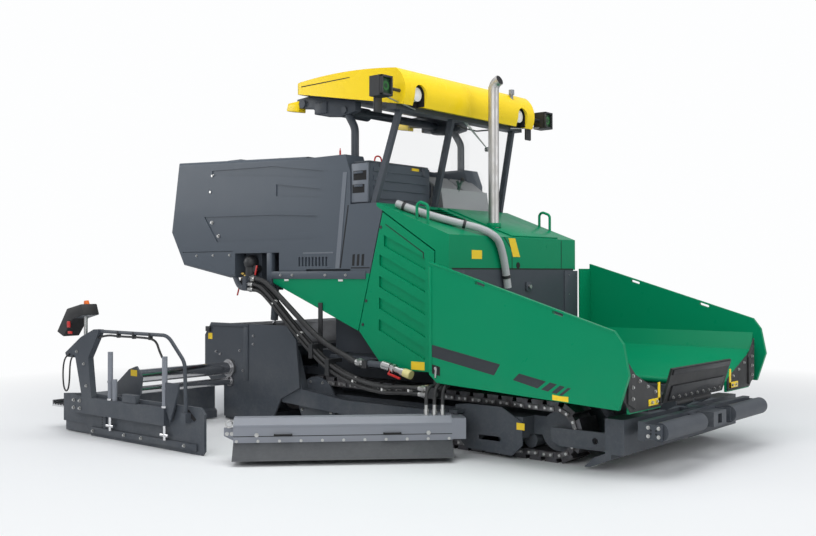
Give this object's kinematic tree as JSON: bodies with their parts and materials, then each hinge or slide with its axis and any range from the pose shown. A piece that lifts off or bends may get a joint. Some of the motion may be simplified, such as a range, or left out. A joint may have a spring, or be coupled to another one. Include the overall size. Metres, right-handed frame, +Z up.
{
  "type": "tracked asphalt paver with spray module",
  "caption": "Tracked asphalt paver with folding hopper, spray module, swing-out spray bars, operator's canopy and an extending screed on tow arms.",
  "frame": {"origin": "on the ground under the middle of the machine's box", "axes": "+X forward to the hopper, +Y to the machine's left, +Z up"},
  "size_m": [6.9999, 6.519, 4.0521],
  "materials": {
    "green_paint": "gloss",
    "grey_paint": "satin",
    "dark_paint": "satin",
    "light_grey_paint": "satin",
    "yellow_paint": "gloss",
    "steel": "satin",
    "worn_steel": "worn",
    "stainless": "polished",
    "chrome": "polished",
    "cast": "as cast",
    "rubber": "matt",
    "black_plastic": "matt",
    "seat_cover": "grained",
    "console_grey": "grained",
    "hose_grey": "ribbed",
    "glass": "clear",
    "lamp": "clear"
  },
  "bodies": {
    "chassis": {"main_frame": "dark_paint", "conveyor": "worn_steel", "bulkhead": "grey_paint", "engine": "cast", "hood": "green_paint", "rear_frame": "dark_paint", "rear_panels": "green_paint", "track_right": "worn_steel", "track_left": "worn_steel", "undercarriage": "dark_paint", "track_guards": "dark_paint", "tow_brackets": "dark_paint", "platform": "dark_paint", "side_panels": "grey_paint", "locker": "grey_paint", "seats": "seat_cover", "console": "console_grey", "windscreen_posts": "dark_paint", "windscreen_glass": "glass", "roof_shell": "yellow_paint", "roof_frame": "dark_paint", "roof_lamps": "lamp", "mirrors": "black_plastic", "exhaust_pipe": "stainless", "hood_handles": "green_paint", "vent_hose": "hose_grey", "spray_housing": "grey_paint", "spray_pump": "dark_paint", "spray_hoses": "rubber", "hose_clamps": "black_plastic", "bar_brackets": "dark_paint", "auger_carrier": "dark_paint"},
    "screed": {"tow_arms": "dark_paint", "main_screed": "dark_paint", "screed_end_plates": "dark_paint", "screed_walkway": "steel"},
    "apron": {"hopper_apron": "rubber"},
    "push_beam": {"push_beam": "dark_paint"},
    "door_right": {"side_door_right": "green_paint"},
    "wing_right": {"hopper_wing_right": "green_paint"},
    "push_roller_right": {"push_roller_right": "steel"},
    "extension_right": {"screed_extension_right": "dark_paint", "end_gate_right": "dark_paint"},
    "spray_bar_right": {"spray_bar_right": "light_grey_paint"},
    "auger_right": {"auger_right": "worn_steel"},
    "lift_barrel_right": {"lift_barrel_right": "dark_paint"},
    "lift_rod_right": {"lift_rod_right": "chrome"},
    "wing_barrel_right": {"wing_barrel_right": "dark_paint"},
    "wing_rod_right": {"wing_rod_right": "chrome"},
    "door_left": {"side_door_left": "green_paint"},
    "wing_left": {"hopper_wing_left": "green_paint"},
    "push_roller_left": {"push_roller_left": "steel"},
    "extension_left": {"screed_extension_left": "dark_paint", "end_gate_left": "dark_paint"},
    "spray_bar_left": {"spray_bar_left": "light_grey_paint"},
    "auger_left": {"auger_left": "worn_steel"},
    "lift_barrel_left": {"lift_barrel_left": "dark_paint"},
    "lift_rod_left": {"lift_rod_left": "chrome"},
    "wing_barrel_left": {"wing_barrel_left": "dark_paint"},
    "wing_rod_left": {"wing_rod_left": "chrome"}
  },
  "joints": [
    {"name": "screed_lift", "type": "hinge", "parent": "chassis", "child": "screed", "pos_m": [1.7, 0, 0.33], "axis": [0, 1, 0], "range_deg": [0, 4]},
    {"name": "apron_fold", "type": "hinge", "parent": "chassis", "child": "apron", "pos_m": [3.19, 0, 0.562], "axis": [0, -1, 0], "range_deg": [0, 40]},
    {"name": "push_swivel", "type": "hinge", "parent": "chassis", "child": "push_beam", "pos_m": [3.17, 0, 0.4], "axis": [0, 0, 1], "range_deg": [-4, 4]},
    {"name": "door_swing_right", "type": "hinge", "parent": "chassis", "child": "door_right", "pos_m": [0.957, -1.268, 1.4], "axis": [0, 0, 1], "range_deg": [0, 80]},
    {"name": "wing_fold_right", "type": "hinge", "parent": "chassis", "child": "wing_right", "pos_m": [2, -0.74, 0.645], "axis": [-1, 0, 0], "range_deg": [0, 40]},
    {"name": "push_roll_right", "type": "hinge", "parent": "push_beam", "child": "push_roller_right", "pos_m": [3.415, -0.755, 0.4], "axis": [0, 1, 0], "continuous": true},
    {"name": "screed_extend_right", "type": "slide", "parent": "screed", "child": "extension_right", "axis": [0, 1, 0], "range_m": [0, 1.22]},
    {"name": "bar_swing_right", "type": "hinge", "parent": "chassis", "child": "spray_bar_right", "pos_m": [1.33, -1.38, 0.3], "axis": [0, 0, 1], "range_deg": [-45, 35]},
    {"name": "auger_turn_right", "type": "hinge", "parent": "chassis", "child": "auger_right", "pos_m": [-1.54, -0.57, 0.33], "axis": [0, 1, 0], "continuous": true},
    {"name": "lift_barrel_swing_right", "type": "hinge", "parent": "chassis", "child": "lift_barrel_right", "pos_m": [-1.58, -1.13, 1.64], "axis": [0, -1, 0], "range_deg": [0, 4.2]},
    {"name": "lift_rod_slide_right", "type": "slide", "parent": "lift_barrel_right", "child": "lift_rod_right", "axis": [0.0879, 0, 0.9961], "range_m": [0, 0.24]},
    {"name": "wing_barrel_swing_right", "type": "hinge", "parent": "chassis", "child": "wing_barrel_right", "pos_m": [2.78, -0.77, 0.33], "axis": [-1, 0, 0], "range_deg": [0, 26]},
    {"name": "wing_rod_slide_right", "type": "slide", "parent": "wing_barrel_right", "child": "wing_rod_right", "axis": [0, -0.7028, 0.7114], "range_m": [0, 0.14]},
    {"name": "door_swing_left", "type": "hinge", "parent": "chassis", "child": "door_left", "pos_m": [0.957, 1.268, 1.4], "axis": [0, 0, -1], "range_deg": [0, 80]},
    {"name": "wing_fold_left", "type": "hinge", "parent": "chassis", "child": "wing_left", "pos_m": [2, 0.74, 0.645], "axis": [1, 0, 0], "range_deg": [0, 40]},
    {"name": "push_roll_left", "type": "hinge", "parent": "push_beam", "child": "push_roller_left", "pos_m": [3.415, 0.755, 0.4], "axis": [0, 1, 0], "continuous": true},
    {"name": "screed_extend_left", "type": "slide", "parent": "screed", "child": "extension_left", "axis": [0, -1, 0], "range_m": [0, 1.22]},
    {"name": "bar_swing_left", "type": "hinge", "parent": "chassis", "child": "spray_bar_left", "pos_m": [1.33, 1.38, 0.3], "axis": [0, 0, -1], "range_deg": [-45, 35]},
    {"name": "auger_turn_left", "type": "hinge", "parent": "chassis", "child": "auger_left", "pos_m": [-1.54, 0.57, 0.33], "axis": [0, 1, 0], "continuous": true},
    {"name": "lift_barrel_swing_left", "type": "hinge", "parent": "chassis", "child": "lift_barrel_left", "pos_m": [-1.58, 1.13, 1.64], "axis": [0, -1, 0], "range_deg": [0, 4.2]},
    {"name": "lift_rod_slide_left", "type": "slide", "parent": "lift_barrel_left", "child": "lift_rod_left", "axis": [0.0879, 0, 0.9961], "range_m": [0, 0.24]},
    {"name": "wing_barrel_swing_left", "type": "hinge", "parent": "chassis", "child": "wing_barrel_left", "pos_m": [2.78, 0.77, 0.33], "axis": [1, 0, 0], "range_deg": [0, 26]},
    {"name": "wing_rod_slide_left", "type": "slide", "parent": "wing_barrel_left", "child": "wing_rod_left", "axis": [0, 0.7028, 0.7114], "range_m": [0, 0.14]}
  ],
  "couplings": [
    {"joint": "lift_barrel_swing_right", "follows": "screed_lift", "ratio": 1.0085},
    {"joint": "lift_rod_slide_right", "follows": "screed_lift", "m_per_rad": 3.352},
    {"joint": "wing_barrel_swing_right", "follows": "wing_fold_right", "ratio": 0.6213},
    {"joint": "wing_rod_slide_right", "follows": "wing_fold_right", "m_per_rad": 0.19107},
    {"joint": "lift_barrel_swing_left", "follows": "screed_lift", "ratio": 1.0085},
    {"joint": "lift_rod_slide_left", "follows": "screed_lift", "m_per_rad": 3.352},
    {"joint": "wing_barrel_swing_left", "follows": "wing_fold_left", "ratio": 0.6213},
    {"joint": "wing_rod_slide_left", "follows": "wing_fold_left", "m_per_rad": 0.19107}
  ]
}
